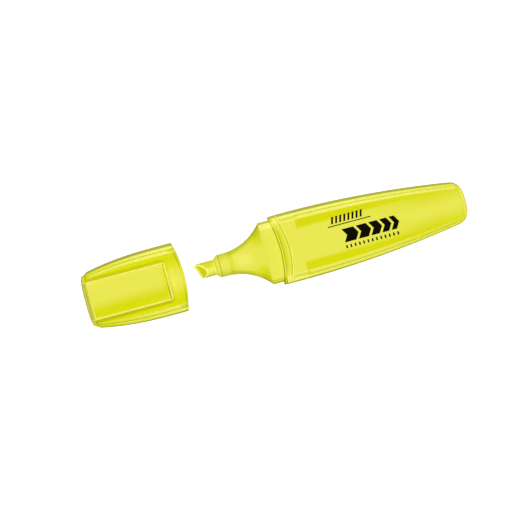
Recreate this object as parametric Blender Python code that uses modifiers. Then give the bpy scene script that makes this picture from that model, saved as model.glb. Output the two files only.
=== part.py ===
"""Flat highlighter with a chisel nib, its cap drawn off and lying in line with it.

X runs along the pen, from the cap's closed end at -X to the barrel's tail at +X.
Y is across its width. +Z is up, out of the face that carries the clip.
The origin is under the middle of the whole object, on the plane that the barrel's
back rests on. Every size is in metres.
"""
import math
from dataclasses import dataclass

import bmesh
import bpy
from mathutils import Matrix, Vector

MM = 0.001

# Fits
FIT_GAP = 0.30 * MM             # between pieces that touch or slide on each other
NIB_GAP = 0.20 * MM             # between the nib and the bore that grips it

# Outside of the pen
PEN_WIDTH = 26.0 * MM
PEN_THICKNESS = 15.5 * MM
MOUTH_BOW_RADIUS = 46.0 * MM    # plan arc of the cap's mouth and of the flange's front
PARTING_BOW_RADIUS = 29.0 * MM  # plan arc of the line between flange and barrel
BOW_FADE = 9.0 * MM             # distance over which a bowed edge straightens out

# Edge of the flat faces: a soft fall, a crisp line, then a bulged side
FLAT_INSET = 3.7 * MM           # outline to the edge of the flat
EDGE_INSET = 1.85 * MM          # outline to the crisp line
EDGE_DROP = 0.45 * MM           # height lost between the flat and the crisp line
END_INSET_SHARE = 0.68          # the insets narrow to this share at a closed end
INNER_INSET_SHARE = 0.87        # insets of a piece that fits inside a shell

# Barrel and front section, measured from the front of the flange towards the tail
BODY_LENGTH = 70.7 * MM
FLANGE_LENGTH = 3.8 * MM
SKIRT_LENGTH = 3.8 * MM
BARREL_WALL = 1.2 * MM
SKIRT_WALL = 0.8 * MM
TAIL_WIDTH = 14.4 * MM
TAIL_ROUNDING = 5.0 * MM
TAIL_SQUARENESS = 2.8

# Front section, measured from the front of the flange towards the nib
SHOULDER_LENGTH = 5.9 * MM
SHOULDER_EDGE = 0.3 * MM        # chamfer round the front of the shoulder
FLARE_LENGTH = 15.3 * MM
NOZZLE_LENGTH = 3.5 * MM        # straight part, chamfer included
NOZZLE_RADIUS = 4.3 * MM
NOZZLE_CHAMFER = 0.9 * MM
NOZZLE_LIP = 0.3 * MM           # wall left at the very front of the nozzle
BORE_LENGTH = 8.5 * MM          # stretch of the nozzle that grips the nib

# Nib
NIB_RADIUS = 2.9 * MM
NIB_REACH = 8.1 * MM            # nozzle front to the long corner of the tip
NIB_LENGTH = 35.0 * MM
NIB_SLANT = math.radians(21.5)  # the writing edge leans this far off square
NIB_WEDGE = math.radians(39.0)  # each face of the chisel against the nib's axis
NIB_LAND = 0.7 * MM             # thickness left at the writing edge
NIB_TAIL_CHAMFER = 0.8 * MM

# Ink reservoir
RESERVOIR_WIDTH = 12.2 * MM     # over the film
RESERVOIR_TAIL_ROOM = 14.2 * MM  # free length left behind it, to the end of the barrel
NIB_INSERTION = 5.2 * MM        # depth of the nib in the filler
FILM = 0.20 * MM

# Cap
CAP_LENGTH = 37.8 * MM
CAP_DRAWN_OFF = 36.6 * MM       # mouth to flange, as the cap lies
CAP_WALL = 1.0 * MM
CAP_END_WIDTH = 20.0 * MM
CAP_STRAIGHT = 7.8 * MM         # full-width stretch behind the mouth
CAP_ROUNDING = 3.4 * MM
CAP_SQUARENESS = 3.5

# Seal cup inside the cap
SEAL_WALL = 0.9 * MM
SEAL_SIDE_GAP = 0.55 * MM       # free space between the cup and the cap's wall
SEAL_OVERLAP = 3.6 * MM         # length of the nozzle that it covers when the cap is on
SEAL_INSET = 2.4 * MM           # cap's closed end to the bottom of the cup

# Clip
CLIP_WIDTH = 14.0 * MM
CLIP_LENGTH = 31.4 * MM
CLIP_THICKNESS = 1.3 * MM
CLIP_GAP = 1.0 * MM             # between the tongue and the cap's face
CLIP_INSET = 0.6 * MM           # cap's closed end to the back of the clip
CLIP_ROOT = 2.4 * MM            # length of the block that joins it to the cap
CLIP_LIP = 1.9 * MM             # length of the lip under its free end
CLIP_CORNER = 1.3 * MM

# Mesh steps
FLAT_COLUMNS = 3
SOFT_STEPS = 2
SIDE_STEPS = 5
FLARE_STEPS = 8
CASE_SIDE_STEPS = 9
CASE_CORNER_STEPS = 9
CASE_STEPS = CASE_SIDE_STEPS + CASE_CORNER_STEPS
ROUND_SEGMENTS = 40

# Places worked out from the sizes above
HALF_WIDTH = PEN_WIDTH / 2
HALF_THICKNESS = PEN_THICKNESS / 2
TOTAL_LENGTH = CAP_LENGTH + CAP_DRAWN_OFF + BODY_LENGTH
FLANGE_X = TOTAL_LENGTH / 2 - BODY_LENGTH
MOUTH_X = FLANGE_X - CAP_DRAWN_OFF
CAP_END_X = MOUTH_X - CAP_LENGTH
FLARE_FRONT = -(SHOULDER_LENGTH + FLARE_LENGTH)
NOZZLE_FRONT = FLARE_FRONT - NOZZLE_LENGTH
NIB_TIP = NOZZLE_FRONT - NIB_REACH
NIB_REAR = NIB_TIP + NIB_LENGTH
RESERVOIR_FRONT = NIB_REAR - NIB_INSERTION
RESERVOIR_LENGTH = BODY_LENGTH - RESERVOIR_TAIL_ROOM - RESERVOIR_FRONT
SKIRT_HALF_WIDTH = HALF_WIDTH - BARREL_WALL - FIT_GAP
SKIRT_HALF_THICKNESS = HALF_THICKNESS - BARREL_WALL - FIT_GAP
CAVITY_HALF_WIDTH = SKIRT_HALF_WIDTH - SKIRT_WALL
CAVITY_HALF_THICKNESS = SKIRT_HALF_THICKNESS - SKIRT_WALL
SHOULDER_HALF_WIDTH = HALF_WIDTH - CAP_WALL - FIT_GAP
SHOULDER_HALF_THICKNESS = HALF_THICKNESS - CAP_WALL - FIT_GAP
SEAL_INSIDE = NOZZLE_RADIUS + FIT_GAP
SEAL_OUTSIDE = SEAL_INSIDE + SEAL_WALL
CAP_END_HALF_THICKNESS = SEAL_OUTSIDE + SEAL_SIDE_GAP + CAP_WALL
CLIP_UNDERSIDE = max(HALF_THICKNESS, CAP_END_HALF_THICKNESS) + CLIP_GAP

YELLOW = (0.78, 0.80, 0.03)
PALE_YELLOW = (0.86, 0.87, 0.30)
INK_YELLOW = (0.80, 0.86, 0.06)
FILM_WHITE = (0.86, 0.88, 0.70)


def clear_scene():
    for item in list(bpy.data.objects):
        bpy.data.objects.remove(item, do_unlink=True)


def new_collection(name):
    group = bpy.data.collections.new(name)
    bpy.context.scene.collection.children.link(group)
    return group


def plastic(name, colour, roughness):
    """A Principled material in one colour."""
    material = bpy.data.materials.new(name)
    material.use_nodes = True
    shader = material.node_tree.nodes["Principled BSDF"]
    shader.inputs["Base Color"].default_value = (*colour, 1.0)
    shader.inputs["Roughness"].default_value = roughness
    shader.inputs["Metallic"].default_value = 0.0
    material.diffuse_color = (*colour, 1.0)
    return material


def add_empty(name, location, parent=None):
    empty = bpy.data.objects.new(name, None)
    group.objects.link(empty)
    empty.parent = parent
    empty.location = location
    empty.empty_display_size = 0.005
    return empty


def add_piece(name, mesh, material, parent, location=(0.0, 0.0, 0.0), rotation=(0.0, 0.0, 0.0)):
    """Link a mesh as one named piece, shaded smooth with its real corners kept sharp."""
    piece = bpy.data.objects.new(name, mesh)
    group.objects.link(piece)
    piece.parent = parent
    piece.location = location
    piece.rotation_euler = rotation
    mesh.materials.append(material)
    mesh.shade_smooth()
    mesh.set_sharp_from_angle(angle=math.radians(30))
    return piece


def mesh_from(bm, name):
    mesh = bpy.data.meshes.new(name)
    bm.to_mesh(mesh)
    bm.free()
    return mesh


def ease(share):
    """From 0 to 1 with no corner at either end."""
    share = min(max(share, 0.0), 1.0)
    return share * share * (3.0 - 2.0 * share)


def edge_profile(half_thickness, scale):
    """(inset from the outline, height), from the edge of the flat down to mid-thickness."""
    points = []
    for step in range(SOFT_STEPS + 1):
        share = step / SOFT_STEPS
        inset = FLAT_INSET + (EDGE_INSET - FLAT_INSET) * share
        points.append((scale * inset, half_thickness - EDGE_DROP * share ** 2))
    rim = half_thickness - EDGE_DROP
    for step in range(1, SIDE_STEPS + 1):
        left = 1.0 - step / SIDE_STEPS
        points.append((scale * EDGE_INSET * left ** 2, rim * left))
    return points


@dataclass
class TaperedCase:
    """Flat hollow case along +X: open at x = 0, tapering to a closed end with round corners."""
    length: float
    straight: float             # full-size stretch behind the open end
    end_half_width: float
    end_half_thickness: float
    rounding: float             # length over which the closed end rounds off
    squareness: float           # 2 rounds it to an ellipse, more makes its corners squarer
    wall: float
    bow_radius: float           # plan arc of the open edge
    bow_side: int               # +1 or -1: which way that arc is bowed

    def taper(self, along):
        return max(along - self.straight, 0.0) / (self.length - self.straight)

    def half_width(self, along):
        return HALF_WIDTH + (self.end_half_width - HALF_WIDTH) * self.taper(along) ** 2.1

    def half_thickness(self, along):
        return HALF_THICKNESS + (self.end_half_thickness - HALF_THICKNESS) * self.taper(along) ** 2

    def plan_point(self, step, inset):
        """(along, across) at a step of the outline, moved in by an inset."""
        corner_start = self.length - self.rounding
        if step < CASE_SIDE_STEPS:
            along = corner_start * step / CASE_SIDE_STEPS
            return along, self.half_width(along) - inset
        turn = math.pi / 2 * (step - CASE_SIDE_STEPS) / CASE_CORNER_STEPS
        along = corner_start + (self.rounding - inset) * math.sin(turn) ** (2 / self.squareness)
        if step == CASE_STEPS:
            return along, 0.0
        return along, (self.half_width(along) - inset) * math.cos(turn) ** (2 / self.squareness)

    def row(self, step):
        """Corners from the middle of the flat face to mid-thickness at a step of the outline."""
        outer_along = self.plan_point(step, 0.0)[0]
        half_thickness = self.half_thickness(outer_along)
        scale = 1.0 + (END_INSET_SHARE - 1.0) * ease(outer_along / self.length)
        profile = edge_profile(half_thickness, scale)
        flat_along, flat_across = self.plan_point(step, profile[0][0])
        places = [(flat_along, flat_across * column / (FLAT_COLUMNS - 1), half_thickness)
                  for column in range(FLAT_COLUMNS - 1)]
        return places + [(*self.plan_point(step, inset), height) for inset, height in profile]


def case_mesh(name, case):
    """Shell of a case: a quarter grid, mirrored twice, thickened inwards, then bowed."""
    bm = bmesh.new()
    rows = [[bm.verts.new(place) for place in case.row(step)] for step in range(CASE_STEPS + 1)]
    for row, next_row in zip(rows, rows[1:]):
        for column in range(len(row) - 1):
            bm.faces.new((row[column], next_row[column], next_row[column + 1], row[column + 1]))
    bmesh.ops.remove_doubles(bm, verts=bm.verts, dist=1e-6)
    quarter = bpy.data.objects.new(name + "_quarter", mesh_from(bm, name + "_quarter"))
    cutters.objects.link(quarter)
    mirror = quarter.modifiers.new("both_sides", "MIRROR")
    mirror.use_axis = (False, True, True)
    mirror.use_clip = True
    mirror.merge_threshold = 0.00001
    solid = quarter.modifiers.new("wall", "SOLIDIFY")
    solid.thickness = case.wall
    solid.offset = -1.0
    solid.use_even_offset = True
    mesh = evaluated_mesh(quarter, name)
    for vert in mesh.vertices:
        fade = 1.0 - ease(vert.co.x / BOW_FADE)
        vert.co.x += case.bow_side * fade * vert.co.y ** 2 / (2 * case.bow_radius)
    return mesh


def evaluated_mesh(source, name):
    """The source object's finished mesh, as a mesh of its own; the source is removed."""
    bpy.context.view_layer.update()
    evaluated = source.evaluated_get(bpy.context.evaluated_depsgraph_get())
    mesh = bpy.data.meshes.new_from_object(evaluated)
    bpy.data.objects.remove(source, do_unlink=True)
    mesh.materials.clear()
    mesh.name = name
    return mesh


def quarter_section(half_width, half_thickness, scale):
    """(across, height) of the pen's flat section, from the middle of the flat to the side."""
    profile = edge_profile(half_thickness, scale)
    flat_edge = half_width - profile[0][0]
    flat = [flat_edge * column / (FLAT_COLUMNS - 1) for column in range(FLAT_COLUMNS - 1)]
    return [(across, half_thickness) for across in flat] + [
        (half_width - inset, height) for inset, height in profile]


def section_ring(along, half_width, half_thickness, boxiness, bow_radius=0.0, scale=1.0):
    """Points round the pen's axis: an ellipse at boxiness 0, the pen's flat section at 1."""
    shoulder = quarter_section(SHOULDER_HALF_WIDTH, SHOULDER_HALF_THICKNESS, INNER_INSET_SHARE)
    quarter = []
    for (across, height), (turn_across, turn_height) in zip(
            quarter_section(half_width, half_thickness, scale), shoulder):
        turn = math.atan2(turn_height / SHOULDER_HALF_THICKNESS, turn_across / SHOULDER_HALF_WIDTH)
        round_across = half_width * math.cos(turn)
        round_height = half_thickness * math.sin(turn)
        quarter.append((round_across + (across - round_across) * boxiness,
                        round_height + (height - round_height) * boxiness))
    half = quarter + [(across, -height) for across, height in reversed(quarter[:-1])]
    ring = half + [(-across, height) for across, height in reversed(half[1:-1])]
    points = []
    for across, height in ring:
        bow = across ** 2 / (2 * bow_radius) if bow_radius else 0.0
        points.append(Vector((along - bow, across, height)))
    return points


def tube_of_rings(name, rings):
    """Closed body whose skin runs through the rings in order and back to the first."""
    bm = bmesh.new()
    rows = [[bm.verts.new(point) for point in ring] for ring in rings]
    for row, next_row in zip(rows, rows[1:] + rows[:1]):
        count = len(row)
        for index in range(count):
            after = (index + 1) % count
            bm.faces.new((row[index], next_row[index], next_row[after], row[after]))
    return mesh_from(bm, name)


def flare_rings():
    """Rings from the end of the straight nozzle to the shoulder: an arc in plan, round to flat."""
    rise = SHOULDER_HALF_WIDTH - SHOULDER_EDGE - NOZZLE_RADIUS
    thickening = SHOULDER_HALF_THICKNESS - SHOULDER_EDGE - NOZZLE_RADIUS
    radius = (FLARE_LENGTH ** 2 + rise ** 2) / (2 * rise)
    rings = []
    for step in range(1, FLARE_STEPS + 1):
        along = FLARE_LENGTH * step / FLARE_STEPS
        risen = radius - math.sqrt(radius ** 2 - along ** 2)
        share = risen / rise
        rings.append(section_ring(FLARE_FRONT + along, NOZZLE_RADIUS + risen,
                                  NOZZLE_RADIUS + thickening * share ** 0.8, share,
                                  scale=share * INNER_INSET_SHARE))
    return rings


def make_front_section():
    """Nozzle, flare, shoulder, flange and skirt, with the nib bore and the cavity inside."""
    bore = NIB_RADIUS + NIB_GAP
    nozzle_mouth = bore + NOZZLE_LIP
    shoulder = (SHOULDER_HALF_WIDTH, SHOULDER_HALF_THICKNESS, 1.0)
    flange = (HALF_WIDTH, HALF_THICKNESS, 1.0)
    skirt = (SKIRT_HALF_WIDTH, SKIRT_HALF_THICKNESS, 1.0)
    cavity = (CAVITY_HALF_WIDTH, CAVITY_HALF_THICKNESS, 1.0)
    skirt_end = FLANGE_LENGTH + SKIRT_LENGTH
    rings = [
        section_ring(NOZZLE_FRONT, nozzle_mouth, nozzle_mouth, 0.0),
        section_ring(NOZZLE_FRONT + NOZZLE_CHAMFER, NOZZLE_RADIUS, NOZZLE_RADIUS, 0.0),
        section_ring(FLARE_FRONT, NOZZLE_RADIUS, NOZZLE_RADIUS, 0.0),
        *flare_rings(),
        section_ring(-SHOULDER_LENGTH + SHOULDER_EDGE, *shoulder, scale=INNER_INSET_SHARE),
        section_ring(0.0, *shoulder, MOUTH_BOW_RADIUS, INNER_INSET_SHARE),
        section_ring(0.0, *flange, MOUTH_BOW_RADIUS),
        section_ring(FLANGE_LENGTH, *flange, PARTING_BOW_RADIUS),
        section_ring(FLANGE_LENGTH, *skirt, PARTING_BOW_RADIUS, INNER_INSET_SHARE),
        section_ring(skirt_end, *skirt, scale=INNER_INSET_SHARE),
        section_ring(skirt_end, *cavity, scale=INNER_INSET_SHARE),
        section_ring(-SHOULDER_LENGTH + SKIRT_WALL, *cavity, scale=INNER_INSET_SHARE),
        section_ring(NOZZLE_FRONT + BORE_LENGTH, bore, bore, 0.0),
        section_ring(NOZZLE_FRONT, bore, bore, 0.0),
    ]
    mesh = tube_of_rings("front_section", rings)
    return add_piece("front_section", mesh, plastic("section_plastic", YELLOW, 0.28), pen_axis)


def make_barrel():
    """Flat tube with a closed, rounded tail."""
    parting = FLANGE_LENGTH + FIT_GAP
    case = TaperedCase(length=BODY_LENGTH - parting, straight=0.0, end_half_width=TAIL_WIDTH / 2,
                       end_half_thickness=HALF_THICKNESS, rounding=TAIL_ROUNDING,
                       squareness=TAIL_SQUARENESS, wall=BARREL_WALL,
                       bow_radius=PARTING_BOW_RADIUS, bow_side=-1)
    mesh = case_mesh("barrel", case)
    return add_piece("barrel", mesh, plastic("barrel_plastic", YELLOW, 0.25), pen_axis, (parting, 0.0, 0.0))


def make_cap_shell():
    """Cap that narrows towards its closed end; it is laid out mouth first and turned round."""
    case = TaperedCase(length=CAP_LENGTH, straight=CAP_STRAIGHT, end_half_width=CAP_END_WIDTH / 2,
                       end_half_thickness=CAP_END_HALF_THICKNESS, rounding=CAP_ROUNDING,
                       squareness=CAP_SQUARENESS, wall=CAP_WALL,
                       bow_radius=MOUTH_BOW_RADIUS, bow_side=1)
    mesh = case_mesh("cap_shell", case)
    return add_piece("cap_shell", mesh, plastic("cap_plastic", YELLOW, 0.25), cap_axis,
                     rotation=(0.0, 0.0, math.pi))


def make_inner_cap():
    """Seal cup, turned about the pen's axis, mouth towards the nib."""
    mouth = NOZZLE_FRONT + SEAL_OVERLAP
    depth = CAP_LENGTH + mouth - SEAL_INSET
    bottom_edge = SEAL_WALL / 2
    profile = [
        (0.0, 0.0), (SEAL_OUTSIDE - bottom_edge, 0.0), (SEAL_OUTSIDE, bottom_edge),
        (SEAL_OUTSIDE, depth), (SEAL_INSIDE, depth), (SEAL_INSIDE, SEAL_WALL), (0.0, SEAL_WALL),
    ]
    bm = bmesh.new()
    verts = [bm.verts.new((radius, 0.0, along)) for radius, along in reversed(profile)]
    for first, second in zip(verts, verts[1:]):
        bm.edges.new((first, second))
    piece = add_piece("inner_cap", mesh_from(bm, "inner_cap"), plastic("seal_plastic", PALE_YELLOW, 0.45),
                      cap_axis, (SEAL_INSET - CAP_LENGTH, 0.0, 0.0), (0.0, math.pi / 2, 0.0))
    turn = piece.modifiers.new("turned", "SCREW")
    turn.steps = ROUND_SEGMENTS
    turn.render_steps = ROUND_SEGMENTS
    turn.use_merge_vertices = True
    turn.merge_threshold = 0.00001
    return piece


def cut_away(bm, point, normal):
    """Remove what lies on the normal's side of a plane and close the cut."""
    everything = list(bm.verts) + list(bm.edges) + list(bm.faces)
    cut = bmesh.ops.bisect_plane(bm, geom=everything, plane_co=point, plane_no=normal, clear_outer=True)
    edges = [item for item in cut["geom_cut"] if isinstance(item, bmesh.types.BMEdge)]
    bmesh.ops.contextual_create(bm, geom=edges)


def make_nib():
    """Fibre rod cut to a slanted wedge in front and chamfered at the rear."""
    bm = bmesh.new()
    bmesh.ops.create_cone(bm, cap_ends=True, segments=ROUND_SEGMENTS, radius1=NIB_RADIUS,
                          radius2=NIB_RADIUS, depth=NIB_LENGTH)
    along_x = Matrix.Translation((NIB_TIP + NIB_LENGTH / 2, 0.0, 0.0)) @ Matrix.Rotation(math.pi / 2, 4, "Y")
    bmesh.ops.transform(bm, matrix=along_x, verts=bm.verts)
    edge = Vector((math.sin(NIB_SLANT), -math.cos(NIB_SLANT), 0.0))
    forward = Vector((-math.cos(NIB_SLANT), -math.sin(NIB_SLANT), 0.0))
    corner = Vector((NIB_TIP, NIB_RADIUS, 0.0))
    cut_away(bm, corner, forward)
    for side in (1.0, -1.0):
        face_normal = forward * math.sin(NIB_WEDGE) + Vector((0.0, 0.0, side * math.cos(NIB_WEDGE)))
        cut_away(bm, corner + Vector((0.0, 0.0, side * NIB_LAND / 2)), face_normal)
    rear_edges = [item for item in bm.edges if all(vert.co.x > NIB_REAR - 1e-6 for vert in item.verts)]
    bmesh.ops.bevel(bm, geom=rear_edges, offset=NIB_TAIL_CHAMFER, segments=1, affect="EDGES")
    return add_piece("nib", mesh_from(bm, "nib"), plastic("nib_fibre", INK_YELLOW, 0.85), pen_axis)


def oval_rod(half_width, half_thickness, capped):
    """Elliptical cylinder along X, as long as the reservoir and centred on the pen's axis."""
    bm = bmesh.new()
    bmesh.ops.create_cone(bm, cap_ends=capped, segments=ROUND_SEGMENTS,
                          radius1=1.0, radius2=1.0, depth=RESERVOIR_LENGTH)
    bmesh.ops.scale(bm, vec=(half_thickness, half_width, 1.0), verts=bm.verts)
    bmesh.ops.rotate(bm, matrix=Matrix.Rotation(math.pi / 2, 3, "Y"), verts=bm.verts)
    return bm


def make_reservoir():
    """Ink filler with a pocket for the nib, and the film wrapped round it."""
    film_half_width = RESERVOIR_WIDTH / 2
    film_half_thickness = CAVITY_HALF_THICKNESS - FIT_GAP
    middle = (RESERVOIR_FRONT + RESERVOIR_LENGTH / 2, 0.0, 0.0)
    film_mesh = mesh_from(oval_rod(film_half_width, film_half_thickness, False), "reservoir_film")
    film = add_piece("reservoir_film", film_mesh, plastic("film", FILM_WHITE, 0.35), pen_axis, middle)
    wrap = film.modifiers.new("film", "SOLIDIFY")
    wrap.thickness = FILM
    wrap.offset = -1.0
    wrap.use_even_offset = True

    inset = FILM + FIT_GAP
    core_bm = oval_rod(film_half_width - inset, film_half_thickness - inset, True)
    core = add_piece("reservoir_core", mesh_from(core_bm, "reservoir_core"),
                     plastic("ink_filler", INK_YELLOW, 0.9), pen_axis, middle)
    pocket_bm = bmesh.new()
    pocket_radius = NIB_RADIUS + FIT_GAP
    pocket_depth = NIB_INSERTION + FIT_GAP
    bmesh.ops.create_cone(pocket_bm, cap_ends=True, segments=ROUND_SEGMENTS, radius1=pocket_radius,
                          radius2=pocket_radius, depth=2 * pocket_depth)
    cutter = bpy.data.objects.new("nib_pocket_cutter", mesh_from(pocket_bm, "nib_pocket_cutter"))
    cutters.objects.link(cutter)
    cutter.parent = pen_axis
    cutter.location = (RESERVOIR_FRONT, 0.0, 0.0)
    cutter.rotation_euler = (0.0, math.pi / 2, 0.0)
    cutter.hide_render = True
    cutter.display_type = "WIRE"
    pocket = core.modifiers.new("nib_pocket", "BOOLEAN")
    pocket.operation = "DIFFERENCE"
    pocket.solver = "EXACT"
    pocket.object = cutter
    return core, film


def make_pocket_clip():
    """Springy tongue: a root block at the closed end, a flat plate and a lip at its free end."""
    root_floor = CAP_END_HALF_THICKNESS + FIT_GAP - CLIP_UNDERSIDE
    lip_floor = HALF_THICKNESS + FIT_GAP - CLIP_UNDERSIDE
    side = [
        (0.0, root_floor), (CLIP_ROOT, root_floor), (CLIP_ROOT, 0.0),
        (CLIP_LENGTH - CLIP_LIP, 0.0), (CLIP_LENGTH - CLIP_LIP / 2, lip_floor), (CLIP_LENGTH, lip_floor),
        (CLIP_LENGTH, CLIP_THICKNESS), (0.0, CLIP_THICKNESS),
    ]
    curve = bpy.data.curves.new("clip_outline", "CURVE")
    curve.dimensions = "2D"
    curve.fill_mode = "BOTH"
    curve.extrude = CLIP_WIDTH / 2
    spline = curve.splines.new("POLY")
    spline.points.add(len(side) - 1)
    for point, (along, height) in zip(spline.points, side):
        point.co = (along, height, 0.0, 1.0)
    spline.use_cyclic_u = True
    outline = bpy.data.objects.new("clip_outline", curve)
    cutters.objects.link(outline)
    mesh = evaluated_mesh(outline, "pocket_clip")
    bm = bmesh.new()
    bm.from_mesh(mesh)
    bmesh.ops.remove_doubles(bm, verts=bm.verts, dist=1e-6)
    hinge_offset = Vector((CLIP_ROOT / 2, 0.0, CLIP_THICKNESS / 2))
    upright = Matrix.Translation(-hinge_offset) @ Matrix.Rotation(math.pi / 2, 4, "X")
    bmesh.ops.transform(bm, matrix=upright, verts=bm.verts)
    free_end = CLIP_LENGTH - hinge_offset.x
    corners = [edge for edge in bm.edges if all(vert.co.x > free_end - 1e-6 for vert in edge.verts)
               and abs(edge.verts[0].co.y - edge.verts[1].co.y) < 1e-6]
    bmesh.ops.bevel(bm, geom=corners, offset=CLIP_CORNER, segments=3, affect="EDGES")
    bmesh.ops.recalc_face_normals(bm, faces=bm.faces)
    bm.to_mesh(mesh)
    bm.free()
    return add_piece("pocket_clip", mesh, plastic("clip_plastic", YELLOW, 0.25), clip_hinge)


clear_scene()
group = new_collection("highlighter")
cutters = new_collection("cutters")
pen_axis = add_empty("pen_axis", (FLANGE_X, 0.0, HALF_THICKNESS))
cap_axis = add_empty("cap_axis", (MOUTH_X, 0.0, HALF_THICKNESS))
clip_hinge = add_empty("clip_hinge", (CLIP_INSET + CLIP_ROOT / 2 - CAP_LENGTH, 0.0,
                                      CLIP_UNDERSIDE + CLIP_THICKNESS / 2), cap_axis)
make_barrel()
make_front_section()
make_nib()
make_reservoir()
make_cap_shell()
make_inner_cap()
make_pocket_clip()
bpy.context.view_layer.update()
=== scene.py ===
import math

import bmesh
import bpy
from mathutils import Matrix, Vector


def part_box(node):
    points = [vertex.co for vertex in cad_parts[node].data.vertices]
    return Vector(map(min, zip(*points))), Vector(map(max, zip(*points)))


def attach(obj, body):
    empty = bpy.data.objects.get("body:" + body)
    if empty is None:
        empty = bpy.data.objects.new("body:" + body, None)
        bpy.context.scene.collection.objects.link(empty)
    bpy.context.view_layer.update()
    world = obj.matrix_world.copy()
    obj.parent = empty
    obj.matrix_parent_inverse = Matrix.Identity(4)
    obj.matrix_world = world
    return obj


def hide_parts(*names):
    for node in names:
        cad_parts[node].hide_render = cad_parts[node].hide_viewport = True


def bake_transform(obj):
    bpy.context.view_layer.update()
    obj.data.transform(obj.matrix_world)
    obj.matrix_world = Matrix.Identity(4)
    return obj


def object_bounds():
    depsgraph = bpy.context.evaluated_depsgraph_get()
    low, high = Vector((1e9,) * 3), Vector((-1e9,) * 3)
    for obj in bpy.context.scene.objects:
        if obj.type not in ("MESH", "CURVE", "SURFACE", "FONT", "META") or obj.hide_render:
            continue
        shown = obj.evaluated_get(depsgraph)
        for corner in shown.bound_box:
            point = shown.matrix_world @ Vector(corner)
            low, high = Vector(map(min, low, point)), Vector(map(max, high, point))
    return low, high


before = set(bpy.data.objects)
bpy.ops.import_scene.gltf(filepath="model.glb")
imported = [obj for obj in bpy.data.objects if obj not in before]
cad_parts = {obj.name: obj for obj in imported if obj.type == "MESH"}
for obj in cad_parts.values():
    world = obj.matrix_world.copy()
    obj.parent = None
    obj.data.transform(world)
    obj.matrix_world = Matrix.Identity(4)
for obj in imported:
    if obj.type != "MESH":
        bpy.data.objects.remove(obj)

cad_low, cad_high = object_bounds()

# Sizes are in millimetres until a mesh is placed. X runs along the pen from the cap's closed
# end to the tail, Y across its width, and Z up out of the face that carries the clip.
MM = 0.001


# -----------------------------------------------------------------------------
# Ink reservoir. A bundle of bonded polyester fibre, soaked with ink and wrapped in a clear
# heat-shrunk film. It lies along the pen inside the barrel, out of sight, so both stay as they
# are and only get their finish.
# -----------------------------------------------------------------------------
def node(tree, kind, sockets=None, **settings):
    """Add a shader node. sockets gives each input a value or another node's output."""
    made = tree.nodes.new("ShaderNode" + kind)
    for name, value in settings.items():
        setattr(made, name, value)
    for socket, value in (sockets or {}).items():
        if isinstance(value, bpy.types.NodeSocket):
            tree.links.new(value, made.inputs[socket])
        else:
            made.inputs[socket].default_value = value
    return made


def maths(tree, operation, *values):
    return node(tree, "Math", dict(enumerate(values)), operation=operation).outputs[0]


def times(tree, vector, factor):
    return node(tree, "VectorMath", {0: vector, "Scale": factor}, operation="SCALE").outputs[0]


def noise(tree, point, scale, detail, roughness=0.5, distortion=0.0):
    return node(tree, "TexNoise", {
        "Vector": point, "Scale": scale, "Detail": detail, "Roughness": roughness,
        "Distortion": distortion}).outputs[0]


def mix_colours(tree, factor, first, second):
    """Blend two colours, each three numbers or another node's output."""
    first, second = [(*colour, 1.0) if isinstance(colour, tuple) else colour
                     for colour in (first, second)]
    return node(tree, "Mix", {"Factor": factor, "A": first, "B": second},
                data_type="RGBA").outputs["Result"]


def effect_group(name, inputs, outputs):
    """An empty node group. inputs gives each socket's default; returns tree, inlet and outlet."""
    tree = bpy.data.node_groups.new(name, "ShaderNodeTree")
    for label, default in inputs.items():
        kind = {tuple: "Color", float: "Float", Vector: "Vector"}[type(default)]
        socket = tree.interface.new_socket(label, in_out="INPUT", socket_type="NodeSocket" + kind)
        socket.default_value = (*default, 1.0) if kind == "Color" else default
    for label, kind in outputs.items():
        tree.interface.new_socket(label, in_out="OUTPUT", socket_type="NodeSocket" + kind)
    inlet = tree.nodes.new("NodeGroupInput")
    outlet = tree.nodes.new("NodeGroupOutput")
    return tree, inlet.outputs, outlet.inputs


def place_group(tree, group, **values):
    """Put an effect group in a material; spaces in socket names are written as underscores."""
    made = tree.nodes.new("ShaderNodeGroup")
    made.node_tree = group
    for label, value in values.items():
        socket = made.inputs[label.replace("_", " ")]
        if isinstance(value, bpy.types.NodeSocket):
            tree.links.new(value, socket)
        else:
            socket.default_value = (*value, 1.0) if isinstance(value, tuple) else value
    return made.outputs


def new_material(name):
    material = bpy.data.materials.new(name)
    material.use_nodes = True
    return material, material.node_tree, material.node_tree.nodes["Principled BSDF"]


def surface(tree, shader, colour, roughness, height, relief, depth):
    """Link a finish's colour, roughness and relief to its shader; depth is in millimetres."""
    bump = node(tree, "Bump", {"Height": height, "Strength": relief, "Distance": depth * MM})
    tree.links.new(colour, shader.inputs["Base Color"])
    tree.links.new(roughness, shader.inputs["Roughness"])
    tree.links.new(bump.outputs[0], shader.inputs["Normal"])


def places_group(name, kind, output, **settings):
    """An effect group for where a point lies on the pen, in millimetres."""
    tree, _, out = effect_group(name, {}, {
        "Along": "Float", "Across": "Float", "Up": "Float", "Off Axis": "Float", "Point": "Vector"})
    metres = node(tree, kind, **settings).outputs[output]
    millimetres = times(tree, metres, 1 / MM)
    parts = node(tree, "SeparateXYZ", {0: millimetres}).outputs
    for label, part in zip(("Along", "Across", "Up"), parts):
        tree.links.new(part, out[label])
    tree.links.new(maths(tree, "ABSOLUTE", parts[1]), out["Off Axis"])
    tree.links.new(millimetres, out["Point"])
    return tree


place = places_group("place_on_pen", "TexCoord", "Object")

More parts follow.
